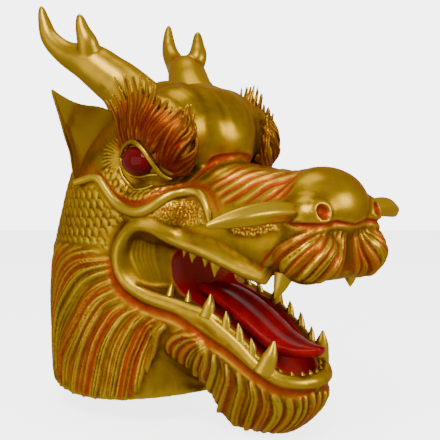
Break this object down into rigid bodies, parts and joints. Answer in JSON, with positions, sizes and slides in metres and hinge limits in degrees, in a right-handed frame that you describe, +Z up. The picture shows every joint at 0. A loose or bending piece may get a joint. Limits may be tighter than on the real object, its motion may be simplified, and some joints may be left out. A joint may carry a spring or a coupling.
{
  "type": "dragon mask",
  "caption": "Overhead latex dragon mask with forked horns, an open toothed mouth with a tongue, tufted brows, barbels and a hollow for the wearer's head.",
  "frame": {"origin": "crown seat: the point inside the skull where the top of the wearer's head touches", "axes": "+Z up, -Y the way the dragon looks, +X its left"},
  "size_m": [0.294, 0.4, 0.439],
  "materials": {
    "gold_latex": "satin metallic gold airbrushed over latex",
    "mouth_red": "glossy dark red paint",
    "tongue_red": "glossy red paint",
    "barbel_gold": "satin gold paint",
    "brow_red": "brick red with gold streaks",
    "ear_gold": "polished gold paint",
    "eye_red": "high gloss deep red",
    "horn_gold": "polished gold paint",
    "mane_gold": "gold with red stripes",
    "whisker_gold": "satin gold paint",
    "tooth_gold": "satin gold paint"
  },
  "bodies": {
    "root": {"barbel_left": "barbel_gold", "barbel_right": "barbel_gold", "brow_left": "brow_red", "brow_right": "brow_red", "ear_left": "ear_gold", "ear_right": "ear_gold", "eye_left": "eye_red", "eye_right": "eye_red", "front_1_left": "tooth_gold", "front_1_right": "tooth_gold", "front_2_left": "tooth_gold", "front_2_right": "tooth_gold", "front_3_left": "tooth_gold", "front_3_right": "tooth_gold", "front_4": "tooth_gold", "horn_left": "horn_gold", "horn_right": "horn_gold", "lower_1_left": "tooth_gold", "lower_1_right": "tooth_gold", "lower_2_left": "tooth_gold", "lower_2_right": "tooth_gold", "lower_3_left": "tooth_gold", "lower_3_right": "tooth_gold", "lower_4_left": "tooth_gold", "lower_4_right": "tooth_gold", "lower_5_left": "tooth_gold", "lower_5_right": "tooth_gold", "lower_6_left": "tooth_gold", "lower_6_right": "tooth_gold", "lower_fang_left": "tooth_gold", "lower_fang_right": "tooth_gold", "mane_left": "mane_gold", "mane_right": "mane_gold", "mask_skin": "gold_latex", "mouth_lining": "mouth_red", "tongue": "tongue_red", "upper_1_left": "tooth_gold", "upper_1_right": "tooth_gold", "upper_2_left": "tooth_gold", "upper_2_right": "tooth_gold", "upper_3_left": "tooth_gold", "upper_3_right": "tooth_gold", "upper_4_left": "tooth_gold", "upper_4_right": "tooth_gold", "upper_5_left": "tooth_gold", "upper_5_right": "tooth_gold", "upper_6_left": "tooth_gold", "upper_6_right": "tooth_gold", "upper_fang_left": "tooth_gold", "upper_fang_right": "tooth_gold", "whisker_left": "whisker_gold", "whisker_right": "whisker_gold"}
  },
  "joints": []
}
